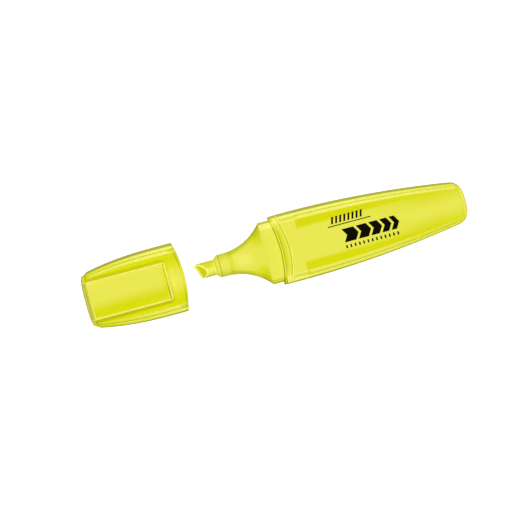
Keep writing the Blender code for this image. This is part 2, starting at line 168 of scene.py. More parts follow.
# Bonded fibres that run along the pen: streaks of light and dark, and their relief
fibres, fed, out = effect_group("bonded_fibres", {
    "Pale": (0.9, 0.9, 0.2), "Soaked": (0.6, 0.7, 0.01), "Fibre Width": 0.12, "Fibre Length": 3.0,
}, {"Color": "Color", "Height": "Float", "Roughness": "Float"})
spot = place_group(fibres, place)
stretch = node(fibres, "CombineXYZ", {
    0: maths(fibres, "DIVIDE", spot["Along"], fed["Fibre Length"]),
    1: maths(fibres, "DIVIDE", spot["Across"], fed["Fibre Width"]),
    2: maths(fibres, "DIVIDE", spot["Up"], fed["Fibre Width"])}).outputs[0]
streaks = noise(fibres, stretch, scale=1.0, detail=3.0, roughness=0.6)
pores = node(fibres, "TexVoronoi", {"Vector": spot["Point"], "Scale": 3.2}).outputs["Distance"]
soaking = node(fibres, "MapRange", {0: streaks, 1: 0.35, 2: 0.65},
               interpolation_type="SMOOTHSTEP").outputs[0]
fibres.links.new(mix_colours(fibres, soaking, fed["Soaked"], fed["Pale"]), out["Color"])
fibres.links.new(maths(fibres, "MULTIPLY_ADD", pores, 0.4, streaks), out["Height"])
fibres.links.new(maths(fibres, "MULTIPLY_ADD", soaking, 0.15, 0.72), out["Roughness"])


def fibre_material(name, pale, soaked, width, glow, pale_where=None):
    """Fibre finish; pale_where builds the mask of places painted pale, which the callers use for worn
    fibre and for a painted highlight; glow is a painted glow, the ink's fluorescence given as constant
    light.
    """
    material, tree, shader = new_material(name)
    bundle = place_group(tree, fibres, Pale=pale, Soaked=soaked, Fibre_Width=width)
    colour = bundle["Color"]
    if pale_where:
        mask = pale_where(tree, place_group(tree, place))
        # Pale where the mask says: worn fibre on the writing edge, a painted highlight down the nib's
        # near side
        colour = mix_colours(tree, mask, colour, (0.92, 0.89, 0.18))
    surface(tree, shader, colour, bundle["Roughness"], bundle["Height"], relief=0.5, depth=0.05)
    tree.links.new(colour, shader.inputs["Emission Color"])
    shader.inputs["Emission Strength"].default_value = glow
    shader.inputs["Specular IOR Level"].default_value = 0.25
    return material


filler_finish = fibre_material(
    "soaked_filler", pale=(0.82, 0.84, 0.10), soaked=(0.60, 0.66, 0.01), width=0.10, glow=0.15)

film_finish, tree, shader = new_material("clear_film")
spot = place_group(tree, place)
wrinkles = noise(tree, spot["Point"], scale=0.35, detail=4.0, distortion=1.5)
surface(tree, shader, mix_colours(tree, wrinkles, (0.86, 0.88, 0.62), (0.93, 0.94, 0.80)),
        maths(tree, "MULTIPLY_ADD", wrinkles, 0.2, 0.15), wrinkles, relief=0.4, depth=0.1)
shader.inputs["Transmission Weight"].default_value = 0.8
for name, finish in (("reservoir_core", filler_finish), ("reservoir_film", film_finish)):
    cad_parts[name].data.materials.clear()
    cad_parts[name].data.materials.append(finish)


# -----------------------------------------------------------------------------
# Barrel. One moulding of dyed, slightly see-through polypropylene: a flat tube with a closed,
# rounded tail. A fine groove and bead run round each flat face, and the mould's two halves meet
# in a hair-thin line round the sides.
# -----------------------------------------------------------------------------
barrel_low, barrel_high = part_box("barrel")
AXIS_Z = (barrel_low.z + barrel_high.z) / 2 / MM
HALF_WIDTH = barrel_high.y / MM
HALF_THICKNESS = (barrel_high.z - barrel_low.z) / 2 / MM
TAIL_X = barrel_high.x / MM
BODY_LENGTH = 70.7               # front of the flange to the tail
FLANGE_X = TAIL_X - BODY_LENGTH
FLANGE_LENGTH = 3.8
GAP = 0.3                        # clearance between pieces that touch
BARREL_WALL = 1.2
BARREL_X = FLANGE_X + FLANGE_LENGTH + 0.1
PARTING_BOW = 29.0               # plan arc of the line between flange and barrel
MOUTH_BOW = 46.0                 # plan arc of the cap's mouth and of the flange's front
BOW_FADE = 9.0                   # distance from the open end where an arc has straightened out

# Edge of a flat face, from the outline inwards: a wide soft facet, a groove, a narrow facet
FACET_LEAN = math.radians(13.0)
WIDE_FACET = (3.55, 2.28)        # insets where it starts and ends
GROOVE = ((2.18, 0.10), (2.05, 0.16), (1.92, 0.09))  # inset, extra depth
NARROW_FACET = (1.80, 0.95)
CORNER_RADIUS = 0.22             # between the narrow facet and the side
EDGE_NARROWING = 0.32            # share by which the edge gets narrower towards the closed end
SIDE_LEAN = math.radians(66.0)
SOFT_STEPS, CORNER_ARC_STEPS, SIDE_STEPS, FLAT_COLUMNS = 4, 5, 12, 6
SEAM_HEIGHT, SEAM_REACH = 0.10, 0.045


def ease(share):
    share = min(max(share, 0.0), 1.0)
    return share * share * (3.0 - 2.0 * share)


def face_edge(half_thickness, scale, grooved):
    """(inset, height) from the edge of the flat face down to mid-thickness."""
    wide_start, wide_end = WIDE_FACET
    soft_width = 0.4
    points = []
    for step in range(SOFT_STEPS + 1):
        share = step / SOFT_STEPS
        points.append((wide_start + soft_width / 2 - soft_width * share,
                       math.tan(FACET_LEAN) * soft_width / 2 * share ** 2))

    def drop_at(inset):
        return math.tan(FACET_LEAN) * (wide_start - inset)

    points.append((wide_end, drop_at(wide_end)))
    for inset, depth in GROOVE:
        points.append((inset, drop_at(inset) + (depth if grooved else 0.0)))
    points += [(inset, drop_at(inset)) for inset in NARROW_FACET]
    inset, drop = points[-1]
    middle_inset = inset + CORNER_RADIUS * math.sin(FACET_LEAN)
    middle_drop = drop + CORNER_RADIUS * math.cos(FACET_LEAN)
    for step in range(1, CORNER_ARC_STEPS + 1):
        lean = FACET_LEAN + (SIDE_LEAN - FACET_LEAN) * step / CORNER_ARC_STEPS
        points.append((middle_inset - CORNER_RADIUS * math.sin(lean),
                       middle_drop - CORNER_RADIUS * math.cos(lean)))
    side_inset, rim_drop = points[-1]
    rim = half_thickness - rim_drop
    edge = [(inset * scale, half_thickness - drop) for inset, drop in points]
    for step in range(1, SIDE_STEPS):
        left = 1.0 - step / SIDE_STEPS
        edge.append((side_inset * left ** 2 * scale, rim * left))
    return edge + [(0.0, SEAM_HEIGHT), (-SEAM_REACH, 0.0)]


class TaperedCase:
    """Flat shell that is open at one end, tapers, and closes with rounded corners."""

    side_steps, corner_steps = 44, 22

    def __init__(self, length, straight, end_half_width, end_half_thickness,
                 rounding, squareness, droop):
        self.length = length
        self.straight = straight
        self.end_half_width = end_half_width
        self.end_half_thickness = end_half_thickness
        self.rounding = rounding
        self.squareness = squareness
        self.droop = droop
        self.steps = self.side_steps + self.corner_steps

    def taper(self, along):
        return max(along - self.straight, 0.0) / (self.length - self.straight)

    def half_width(self, along):
        return HALF_WIDTH + (self.end_half_width - HALF_WIDTH) * self.taper(along) ** self.droop

    def half_thickness(self, along):
        return HALF_THICKNESS + (self.end_half_thickness - HALF_THICKNESS) * self.taper(along) ** 2

    def plan_point(self, step, inset):
        """(along, across) at a step of the outline, moved in by an inset."""
        corner_start = self.length - self.rounding
        if step < self.side_steps:
            along = corner_start * step / self.side_steps
            return along, self.half_width(along) - inset
        turn = math.pi / 2 * (step - self.side_steps) / self.corner_steps
        along = corner_start + (self.rounding - inset) * math.sin(turn) ** (2 / self.squareness)
        if step == self.steps:
            return along, 0.0
        return along, (self.half_width(along) - inset) * math.cos(turn) ** (2 / self.squareness)

    def row(self, step, shrink, grooved, forward=0.0):
        """Points from the middle of the flat face to mid-thickness, on a skin shrunk inwards."""
        outer_along = self.plan_point(step, 0.0)[0]
        half_thickness = self.half_thickness(outer_along) - shrink
        scale = 1.0 - EDGE_NARROWING * ease(outer_along / self.length)
        profile = face_edge(half_thickness, scale, grooved)
        along, flat_edge = self.plan_point(step, profile[0][0] + shrink)
        points = [(along + forward, flat_edge * column / FLAT_COLUMNS, half_thickness)
                  for column in range(FLAT_COLUMNS)]
        for inset, height in profile:
            along, across = self.plan_point(step, inset + shrink)
            points.append((along + forward, max(across, 0.0), height))
        return points

    def shell(self, wall, bow_radius, bow_side, rings=()):
        """Closed mesh of the shell; rings gives (distance from the open end, depth) of grooves."""
        lip = 0.20
        steps_per_length = self.side_steps / (self.length - self.rounding)
        ring_rows = [(along * steps_per_length, depth) for along, depth in rings]
        clear = ring_rows[-1][0] if ring_rows else 0.0
        rows = [self.row(step, 0.0, True) for step in range(self.steps, 0, -1) if step > clear]
        rows += [self.row(step, depth, True) for step, depth in reversed(ring_rows)]
        for turn in (0, 30, 60, 90):
            turn = math.radians(turn)
            rows.append(self.row(0, lip * (1 - math.cos(turn)), True, lip * (1 - math.sin(turn))))
        rows += [self.row(step, wall, False) for step in range(self.steps + 1)]
        bm = bmesh.new()
        grid = [[bm.verts.new(point) for point in row] for row in rows]
        for row, after in zip(grid, grid[1:]):
            for column in range(len(row) - 1):
                bm.faces.new((row[column], row[column + 1], after[column + 1], after[column]))
        bmesh.ops.remove_doubles(bm, verts=bm.verts, dist=1e-4)
        for axis in ("Y", "Z"):
            bmesh.ops.mirror(bm, geom=bm.verts[:] + bm.edges[:] + bm.faces[:],
                             axis=axis, merge_dist=1e-3)
        for vert in bm.verts:
            fade = 1.0 - ease(vert.co.x / BOW_FADE)
            vert.co.x += bow_side * fade * vert.co.y ** 2 / (2 * bow_radius)
        return bm


def finish_mesh(bm, name, origin, material, body=None, node_name=None, half_turn=False):
    """Put a millimetre mesh in its place, in metres, and tie it to the frame."""
    matrix = Matrix.Translation(Vector(origin) * MM) @ Matrix.Scale(MM, 4)
    if half_turn:
        matrix = matrix @ Matrix.Rotation(math.pi, 4, "Z")
    bmesh.ops.transform(bm, matrix=matrix, verts=bm.verts)
    bmesh.ops.recalc_face_normals(bm, faces=bm.faces)
    mesh = bpy.data.meshes.new(name)
    bm.to_mesh(mesh)
    bm.free()
    mesh.materials.append(material)
    mesh.shade_smooth()
    mesh.set_sharp_from_angle(angle=math.radians(38))
    piece = bpy.data.objects.new(name, mesh)
    bpy.context.scene.collection.objects.link(piece)
    if body:
        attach(piece, body)
    if node_name:
        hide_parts(node_name)
    return piece


# A value inside a range, with a soft edge at each end
soft_band, fed, out = effect_group("soft_band", {
    "Value": 0.0, "Start": 0.0, "End": 1.0, "Start Blur": 1.0, "End Blur": 1.0}, {"Mask": "Float"})
edges = []
for name in ("Start", "End"):
    half = maths(soft_band, "MULTIPLY", fed[name + " Blur"], 0.5)
    edges.append(node(soft_band, "MapRange", {
        0: fed["Value"], 1: maths(soft_band, "SUBTRACT", fed[name], half),
        2: maths(soft_band, "ADD", fed[name], half)}, interpolation_type="SMOOTHSTEP").outputs[0])
soft_band.links.new(
    maths(soft_band, "MULTIPLY", edges[0], maths(soft_band, "SUBTRACT", 1.0, edges[1])), out["Mask"])

# Dyed fluorescent plastic. Tone runs from -1, painted shade in a groove, at a joint or under a
# part, through 0 where the wall is lit straight through and 1 where something pale is behind it,
# and where a painted highlight lies, to 2, a painted highlight on an edge. Slow flow marks, a fine
# spark-eroded mould grain and rubbed patches lie over it
dyed, fed, out = effect_group("dyed_plastic", {
    "Seam": (0.40, 0.41, 0.02), "Deep": (0.72, 0.735, 0.0), "Pale": (0.835, 0.825, 0.085),
    "Edge Highlight": (0.97, 0.90, 0.19), "Tone": 0.5, "Gloss": 0.3, "Point": Vector(),
}, {"Color": "Color", "Roughness": "Float", "Height": "Float"})
drawn_out = node(dyed, "VectorMath", {0: fed["Point"], 1: (0.05, 0.14, 0.14)}, operation="MULTIPLY")
flow = noise(dyed, drawn_out.outputs[0], scale=1.0, detail=3.0, distortion=0.6)
grain = noise(dyed, fed["Point"], scale=9.0, detail=2.0)
rubbed = noise(dyed, fed["Point"], scale=0.22, detail=5.0, roughness=0.65)
tone = maths(dyed, "ADD", fed["Tone"],
             maths(dyed, "MULTIPLY", maths(dyed, "SUBTRACT", flow, 0.5), 0.35))
# The colour climbs from painted shade through deep and pale to a painted edge highlight
colour = fed["Seam"]
for label, below in (("Deep", -1.0), ("Pale", 0.0), ("Edge Highlight", 1.0)):
    reached = node(dyed, "Clamp", {0: maths(dyed, "SUBTRACT", tone, below)}).outputs[0]
    colour = mix_colours(dyed, reached, colour, fed[label])
dyed.links.new(colour, out["Color"])
dyed.links.new(maths(dyed, "MULTIPLY_ADD", maths(dyed, "SUBTRACT", rubbed, 0.5), 0.22, fed["Gloss"]),
               out["Roughness"])
dyed.links.new(maths(dyed, "MULTIPLY_ADD", rubbed, 0.5, grain), out["Height"])


NO_LIMIT = 500.0                 # where a band that is open on one side starts or ends


def band(tree, value, start=-NO_LIMIT, end=NO_LIMIT, start_blur=1.0, end_blur=1.0):
    """A mask of where a value lies between start and end."""
    return place_group(tree, soft_band, Value=value, Start=start, End=end,
                       Start_Blur=start_blur, End_Blur=end_blur)["Mask"]


def plastic_material(name, tone_of, gloss=0.22, glow=0.28, body=0.93, places=place):
    """Fluorescent plastic; tone_of builds its map of tones, painted light and shade among them; glow is
    a painted glow, the dye's fluorescence given as constant light, which also lifts the shade.
    """
    material, tree, shader = new_material(name)
    spot = place_group(tree, places)
    moulded = place_group(tree, dyed, Tone=tone_of(tree, spot), Gloss=gloss, Point=spot["Point"])
    surface(tree, shader, times(tree, moulded["Color"], body), moulded["Roughness"],
            moulded["Height"], relief=0.25, depth=0.012)
    tree.links.new(moulded["Color"], shader.inputs["Emission Color"])
    # Painted glow: constant light from the dye, which also lifts the shade
    shader.inputs["Emission Strength"].default_value = glow
    shader.inputs["Specular IOR Level"].default_value = 0.32
    return material


def edge_tones(tree, spot, tone, into_taper, case, lit):
    """Add the painted light of a case's edge: painted highlights on its facets, stronger far than near,
    painted shadow in the groove and painted shade on the sides.
    """
    taper = maths(tree, "DIVIDE", maths(tree, "MAXIMUM", into_taper, 0.0), case.length - case.straight)
    narrowed = maths(tree, "MULTIPLY", maths(tree, "POWER", taper, case.droop),
                     case.end_half_width - HALF_WIDTH)
    inset = maths(tree, "SUBTRACT", maths(tree, "ADD", narrowed, HALF_WIDTH), spot["Off Axis"])
    scale = maths(tree, "MULTIPLY_ADD", maths(tree, "MULTIPLY", taper, taper), -EDGE_NARROWING, 1.0)
    scaled = maths(tree, "DIVIDE", inset, scale)
    height = maths(tree, "ABSOLUTE", maths(tree, "SUBTRACT", spot["Up"], AXIS_Z))
    # Painted shade on the steep sides, which darkens the outline
    side = band(tree, height, end=HALF_THICKNESS - 0.85, end_blur=0.6)
    face = maths(tree, "SUBTRACT", 1.0, side)
    # Painted highlights on the facets, weaker on the near side
    near = band(tree, spot["Across"], end=-1.0, end_blur=6.0)
    lit = maths(tree, "MULTIPLY", maths(tree, "MULTIPLY_ADD", near, -0.45, 1.0), lit)
    facets = maths(tree, "MULTIPLY", band(tree, scaled, end=3.35, end_blur=0.5), lit)
    # A painted highlight on the narrow facet's crest, a painted shadow in the groove
    crest = maths(tree, "MULTIPLY", band(tree, scaled, 1.05, 1.75, 0.4, 0.1), 0.35)
    groove = maths(tree, "MULTIPLY", band(tree, scaled, 1.85, 2.20, 0.1, 0.1), 0.8)
    tone = maths(tree, "MAXIMUM", tone, facets)
    tone = maths(tree, "MULTIPLY_ADD", maths(tree, "SUBTRACT", crest, groove), face, tone)
    return maths(tree, "SUBTRACT", tone, maths(tree, "MULTIPLY", side, 0.4))


def barrel_tone(tree, spot):
    """Pale over the plug of the front section and over the reservoir, deep at its sides; a painted
    highlight spreads over the tail and runs as a line round its end.
    """
    plug = band(tree, spot["Along"], end=FLANGE_X + 7.6, end_blur=0.8)
    reservoir = band(tree, spot["Off Axis"], end=6.3, end_blur=1.6)
    # Towards the tail the reservoir's pale gives way to a broad painted highlight
    tail = band(tree, spot["Along"], start=TAIL_X - 27.55, start_blur=40.0)
    tail_highlight = band(tree, spot["Off Axis"], end=3.6, end_blur=7.0)
    core = node(tree, "Mix", {"Factor": tail, "A": reservoir, "B": tail_highlight}).outputs[0]
    # A painted highlight line round the tail's end
    end = band(tree, spot["Along"], TAIL_X - 1.9, TAIL_X - 0.9, 0.4, 0.4)
    tone = maths(tree, "MAXIMUM", maths(tree, "MAXIMUM", plug, core), maths(tree, "MULTIPLY", end, 1.2))
    into_taper = maths(tree, "SUBTRACT", spot["Along"], BARREL_X)
    return edge_tones(tree, spot, tone, into_taper, barrel_case, lit=0.62)


barrel_case = TaperedCase(length=TAIL_X - BARREL_X, straight=0.0, end_half_width=7.25,
                          end_half_thickness=HALF_THICKNESS, rounding=5.0, squareness=2.8, droop=2.0)
barrel_finish = plastic_material("barrel_plastic_finish", barrel_tone)
barrel_bm = barrel_case.shell(BARREL_WALL, PARTING_BOW, bow_side=-1)
finish_mesh(barrel_bm, "barrel_shell", (BARREL_X, 0.0, AXIS_Z), barrel_finish,
            body="pen", node_name="barrel")


# -----------------------------------------------------------------------------
# Cap. The same plastic as the barrel. It narrows towards its closed end, where a short band is
# stepped in, and its mouth is bowed like the flange that it closes against.
# -----------------------------------------------------------------------------
CAP_LENGTH = 37.8
CAP_WALL = 1.0
CAP_END_X = cad_low.x / MM
MOUTH_X = CAP_END_X + CAP_LENGTH
END_BAND = 2.05                  # length of the stepped band at the closed end
BAND_STEP = 0.55                 # how far the band is stepped in, all round
BAND_GROOVE = 0.72               # the same for the groove in front of it
BAND_ROUNDING = (0.60, 1.5)      # how far the cap rounds down to the groove, and over what length
BAND_REACH = (9.9, 7.0)          # from the axis to the side and to the flat face at the band
FLAT_SHARE = 0.6                 # how much of each step the flat faces take
cap_case = TaperedCase(length=CAP_LENGTH, straight=7.8, end_half_width=9.85, end_half_thickness=7.05,
                       rounding=1.9, squareness=3.2, droop=2.4)


def cap_tone(tree, spot):
    """Pale down the middle, painted light where the mouth lets light in, deep towards the sides and
    paler on the end band; a painted shadow line in the mouth's groove, and the edge's painted
    highlights, strongest near the mouth.
    """
    middle = band(tree, spot["Off Axis"], end=4.0, end_blur=7.0)
    end = band(tree, spot["Along"], end=CAP_END_X + END_BAND, end_blur=0.4)
    square = maths(tree, "POWER", spot["Off Axis"], 2.0)
    bowed = maths(tree, "MULTIPLY_ADD", square, 0.5 / MOUTH_BOW, spot["Along"])
    # Painted shadow line in the groove just inside the mouth
    mouth_line = band(tree, bowed, MOUTH_X - 0.98, MOUTH_X - 0.62, 0.1, 0.1)
    tone = maths(tree, "MAXIMUM", middle, maths(tree, "MULTIPLY", end, 0.8))
    into_taper = maths(tree, "SUBTRACT", MOUTH_X - cap_case.straight, spot["Along"])
    # The edge's painted highlights, strongest near the mouth
    near_mouth = band(tree, spot["Along"], start=MOUTH_X - 12.25, start_blur=16.0)
    lit = maths(tree, "MULTIPLY_ADD", near_mouth, 0.5, 0.2)
    tone = edge_tones(tree, spot, tone, into_taper, cap_case, lit)
    return maths(tree, "SUBTRACT", tone, maths(tree, "MULTIPLY", mouth_line, 0.8))


cap_finish = plastic_material("cap_plastic_finish", cap_tone)
cap_bm = cap_case.shell(CAP_WALL, MOUTH_BOW, bow_side=1,
                        rings=((0.60, 0.0), (0.70, 0.09), (0.84, 0.09), (0.94, 0.0)))
band_start = CAP_LENGTH - END_BAND
for x in (-1.4, -1.0, -0.7, -0.45, -0.25, -0.10, 0.0, 0.05, 0.14, 0.20):
    bmesh.ops.bisect_plane(cap_bm, geom=cap_bm.verts[:] + cap_bm.edges[:] + cap_bm.faces[:],
                           plane_co=(band_start + x, 0.0, 0.0), plane_no=(1.0, 0.0, 0.0))
for vert in cap_bm.verts:
    past = vert.co.x - band_start
    if past > 0.12:
        stepped = BAND_STEP
    elif past > -0.01:
        stepped = BAND_GROOVE
    else:
        stepped = BAND_ROUNDING[0] * max(0.0, 1.0 + past / BAND_ROUNDING[1]) ** 2
    vert.co.y *= 1.0 - stepped / BAND_REACH[0]
    vert.co.z *= 1.0 - FLAT_SHARE * stepped / BAND_REACH[1]
finish_mesh(cap_bm, "cap_body", (MOUTH_X, 0.0, AXIS_Z), cap_finish,
            body="cap", node_name="cap_shell", half_turn=True)


# -----------------------------------------------------------------------------
# Seal cup. A plain natural polypropylene cup pressed into the cap. It closes over the nozzle,
# and its mouth has a rounded lip.
# -----------------------------------------------------------------------------
cup_low, cup_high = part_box("inner_cap")
CUP_RADIUS = cup_high.y / MM
CUP_DEPTH = (cup_high.x - cup_low.x) / MM
CUP_WALL = 0.9
cup_profile = [(0.0, 0.0), (CUP_RADIUS - 0.6, 0.0), (CUP_RADIUS - 0.18, 0.18), (CUP_RADIUS, 0.6),
               (CUP_RADIUS, CUP_DEPTH - CUP_WALL / 2)]
for step in range(1, 8):
    turn = math.pi * step / 8
    cup_profile.append((CUP_RADIUS - CUP_WALL / 2 * (1 - math.cos(turn)),
                        CUP_DEPTH - CUP_WALL / 2 * (1 - math.sin(turn))))
cup_profile += [(CUP_RADIUS - CUP_WALL, CUP_DEPTH - CUP_WALL / 2), (CUP_RADIUS - CUP_WALL, CUP_WALL),
                (0.0, CUP_WALL)]


def turn_profile(profile, segments=72):
    """Turn a (radius, along) profile about X."""
    bm = bmesh.new()
    verts = [bm.verts.new((along, radius, 0.0)) for radius, along in profile]
    edges = [bm.edges.new(pair) for pair in zip(verts, verts[1:])]
    bmesh.ops.spin(bm, geom=verts + edges, axis=(1.0, 0.0, 0.0), cent=(0.0, 0.0, 0.0),
                   angle=2 * math.pi, steps=segments, use_merge=True)
    bmesh.ops.remove_doubles(bm, verts=bm.verts, dist=1e-4)
    return bm


cup_finish, tree, shader = new_material("natural_polypropylene")
spot = place_group(tree, place)
moulded = place_group(tree, dyed, Pale=(0.90, 0.90, 0.60), Deep=(0.84, 0.85, 0.38),
                      Tone=0.6, Gloss=0.35, Point=spot["Point"])
surface(tree, shader, moulded["Color"], moulded["Roughness"], moulded["Height"],
        relief=0.3, depth=0.015)
finish_mesh(turn_profile(cup_profile), "seal_cup", (cup_low.x / MM, 0.0, AXIS_Z), cup_finish,
            body="cap", node_name="inner_cap")


# -----------------------------------------------------------------------------
# Pocket clip. Moulded in one with the cap: a root block at the closed end carries a flat tongue
# with a thin raised rim, a shallow dip before its free end, and a lip under it.
# -----------------------------------------------------------------------------
clip_low, clip_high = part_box("pocket_clip")
CLIP_START = clip_low.x / MM + 0.45
CLIP_HALF_WIDTH = clip_high.y / MM + 0.15
CLIP_LENGTH = clip_high.x / MM - CLIP_START
CLIP_TOP = clip_high.z / MM - AXIS_Z
CLIP_THICKNESS = 1.3
CLIP_CORNER = 1.3
CLIP_ROOT = 2.4
CLIP_LIP = 1.9
# Rows of points along the edge, by their distance in from it
RIM_OFFSETS = (0.0, 0.06, 0.14, 0.25, 0.45, 0.60, 0.75)
FACE_OFFSETS = (0.35, 0.52, 0.68, 0.9)
RIM_WIDTH, RIM_HEIGHT = 0.45, 0.20
RIM_ROUNDING = 0.22
DIP_LENGTH, DIP_DEPTH = 3.1, 0.45
ROOT_ROUNDING = (1.5, 2.4)       # along, down


def clip_edge_distance(along, across):
    """How far a point of the tongue is from its nearest side or free end."""
    corner_along = along - (CLIP_LENGTH - CLIP_CORNER)
    corner_across = across - (CLIP_HALF_WIDTH - CLIP_CORNER)
    if corner_along > 0 and corner_across > 0:
        return CLIP_CORNER - math.hypot(corner_along, corner_across)
    return min(CLIP_HALF_WIDTH - across, CLIP_LENGTH - along)


def clip_face(along, across):
    """Height of the tongue's upper face."""
    inside = clip_edge_distance(along, across)
    past_rim = inside - RIM_WIDTH
    rounded = -RIM_ROUNDING * max(0.0, 1.0 - inside / RIM_ROUNDING) ** 2
    sunk = -RIM_HEIGHT * ease(past_rim / 0.15)
    dip = -DIP_DEPTH * ease((along - (CLIP_LENGTH - DIP_LENGTH)) / 2.2) * ease(past_rim / 0.2)
    root_round = -ROOT_ROUNDING[1] * max(0.0, 1.0 - along / ROOT_ROUNDING[0]) ** 2
    crown = -0.10 * (across / CLIP_HALF_WIDTH) ** 2
    return CLIP_TOP + rounded + sunk + dip + root_round + crown * ease(past_rim / 0.3)


def clip_underside(along):
    root_floor, lip_floor = 6.55, HALF_THICKNESS + GAP
    plate = CLIP_TOP - CLIP_THICKNESS
    root = ease((CLIP_ROOT + 0.35 - along) / 0.7)
    lip = ease((along - (CLIP_LENGTH - CLIP_LIP)) / (CLIP_LIP / 2))
    return plate + (root_floor - plate) * root + (lip_floor - plate) * lip


clip_alongs = sorted(
    {0.0, 0.1, 0.25, 0.45, 0.65, 0.85, 1.05, 1.25, 1.5, 1.8, 2.05, 2.2, 2.4, 2.6, 2.75}
    | {3.5 + 1.25 * step for step in range(20)}
    | {CLIP_LENGTH - DIP_LENGTH + 0.25 * step for step in range(10)}
    | {CLIP_LENGTH - offset for offset in (*RIM_OFFSETS, *FACE_OFFSETS, 1.1)})
clip_columns = 14
clip_bm = bmesh.new()
clip_top, clip_bottom = [], []
for along in clip_alongs:
    corner = max(along - (CLIP_LENGTH - CLIP_CORNER), 0.0)
    half_width = CLIP_HALF_WIDTH - CLIP_CORNER + math.sqrt(max(CLIP_CORNER ** 2 - corner ** 2, 0.0))
    inner = half_width - FACE_OFFSETS[-1]
    acrosses = sorted({half_width - offset for offset in (*RIM_OFFSETS, *FACE_OFFSETS)}
                      | {inner * column / clip_columns for column in range(clip_columns)})
    acrosses = [-across for across in reversed(acrosses[1:])] + acrosses
    clip_top.append([clip_bm.verts.new((along, across, clip_face(along, abs(across))))
                     for across in acrosses])
    clip_bottom.append([clip_bm.verts.new((along, across, clip_underside(along)))
                        for across in acrosses])
for sheet, flip in ((clip_top, False), (clip_bottom, True)):
    for row, after in zip(sheet, sheet[1:]):
        for column in range(len(row) - 1):
            corners = (row[column], row[column + 1], after[column + 1], after[column])
            clip_bm.faces.new(tuple(reversed(corners)) if flip else corners)
clip_border = [sheet[0] + [row[-1] for row in sheet[1:]] + sheet[-1][-2::-1]
               + [row[0] for row in reversed(sheet[1:-1])] for sheet in (clip_top, clip_bottom)]
upper, lower = clip_border
for index in range(len(upper)):
    after = (index + 1) % len(upper)
    clip_bm.faces.new((upper[index], upper[after], lower[after], lower[index]))


def clip_tone(tree, spot):
    """Painted light: highlights on the rim and root, pale over the far half, deep towards the near
    side, painted shade in the dip and a painted shadow before the end rim and under the tongue.
    """
    end = clip_high.x / MM
    # Painted light: paler over the far half, deeper towards the near side
    face = band(tree, spot["Across"], start=-2.1, start_blur=5.0)
    # Painted shade in the dip, a painted shadow line at the foot of the end rim
    dip = band(tree, spot["Along"], end - 2.3, end - 0.75, 0.5, 0.2)
    end_rim_shadow = band(tree, spot["Along"], end - 1.15, end - 0.70, 0.2, 0.1)
    # Painted highlights on the rim, the root's slope and its crest
    rim = maths(tree, "MAXIMUM",
                band(tree, spot["Off Axis"], start=CLIP_HALF_WIDTH - 0.60, start_blur=0.12),
                band(tree, spot["Along"], start=end - 0.64, start_blur=0.12))
    slope = band(tree, spot["Along"], end=CLIP_START + 1.0, end_blur=0.4)
    crest = band(tree, spot["Along"], CLIP_START + 1.05, CLIP_START + 1.7, 0.3, 0.3)
    flat = maths(tree, "SUBTRACT", face, maths(tree, "MULTIPLY", dip, 0.45))
    lit = maths(tree, "MAXIMUM", maths(tree, "MULTIPLY", rim, 2.0), maths(tree, "MULTIPLY", crest, 1.3))
    # Painted shadow on the tongue's sides and underside, below its top
    height = maths(tree, "SUBTRACT", spot["Up"], AXIS_Z + CLIP_TOP)
    under = maths(tree, "MULTIPLY", band(tree, height, end=-0.85, end_blur=0.2),
                  maths(tree, "SUBTRACT", 1.0, slope))
    tone = maths(tree, "MAXIMUM", flat, lit)
    tone = maths(tree, "MAXIMUM", tone, maths(tree, "MULTIPLY", slope, 0.9))
    between_rims = band(tree, spot["Off Axis"], end=CLIP_HALF_WIDTH - 0.7, end_blur=0.2)
    end_rim_shadow = maths(tree, "MULTIPLY", end_rim_shadow, between_rims)
    tone = maths(tree, "SUBTRACT", tone, maths(tree, "MULTIPLY", end_rim_shadow, 1.1))
    return maths(tree, "SUBTRACT", tone, maths(tree, "MULTIPLY", under, 2.2))


# The clip bends, so its finish keeps to where each point was moulded
moulded_place = places_group("moulded_place", "Attribute", "Vector", attribute_name="moulded_place")
clip_finish = plastic_material("clip_plastic_finish", clip_tone, places=moulded_place)
clip = finish_mesh(clip_bm, "clip_tongue", (CLIP_START, 0.0, AXIS_Z), clip_finish,
                   node_name="pocket_clip")
moulded_points = clip.data.attributes.new("moulded_place", "FLOAT_VECTOR", "POINT")
moulded_points.data.foreach_set("vector", [value for vert in clip.data.vertices for value in vert.co])
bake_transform(clip)


# -----------------------------------------------------------------------------
# Front section. One moulding: a nozzle that grips the nib, a flare, a shoulder that the cap
# slides over, a bowed flange that it stops against, and a skirt pressed into the barrel.
# -----------------------------------------------------------------------------
SHOULDER = (HALF_WIDTH - CAP_WALL - GAP, HALF_THICKNESS - CAP_WALL - GAP)
SKIRT = (HALF_WIDTH - BARREL_WALL - GAP, HALF_THICKNESS - BARREL_WALL - GAP)
SKIRT_LENGTH = 3.8
SECTION_WALL = 0.8
CAVITY = (SKIRT[0] - SECTION_WALL, SKIRT[1] - SECTION_WALL)
SHOULDER_LENGTH = 5.9
FLARE_LENGTH = 15.3
NOZZLE_LENGTH = 3.5
NOZZLE_RADIUS = 4.3
BORE_RADIUS = 3.1
BORE_LENGTH = 8.5
INNER_SCALE = 0.87
FLARE_FRONT = -(SHOULDER_LENGTH + FLARE_LENGTH)
NOZZLE_FRONT = FLARE_FRONT - NOZZLE_LENGTH
FLARE_STEPS = 26


def flat_section(half_width, half_thickness, scale):
    """(across, height) of the flat section, from the middle of the flat to the side."""
    profile = face_edge(half_thickness, scale, False)
    flat_edge = half_width - profile[0][0]
    return [(flat_edge * column / FLAT_COLUMNS, half_thickness) for column in range(FLAT_COLUMNS)] + [
        (half_width - inset, height) for inset, height in profile]


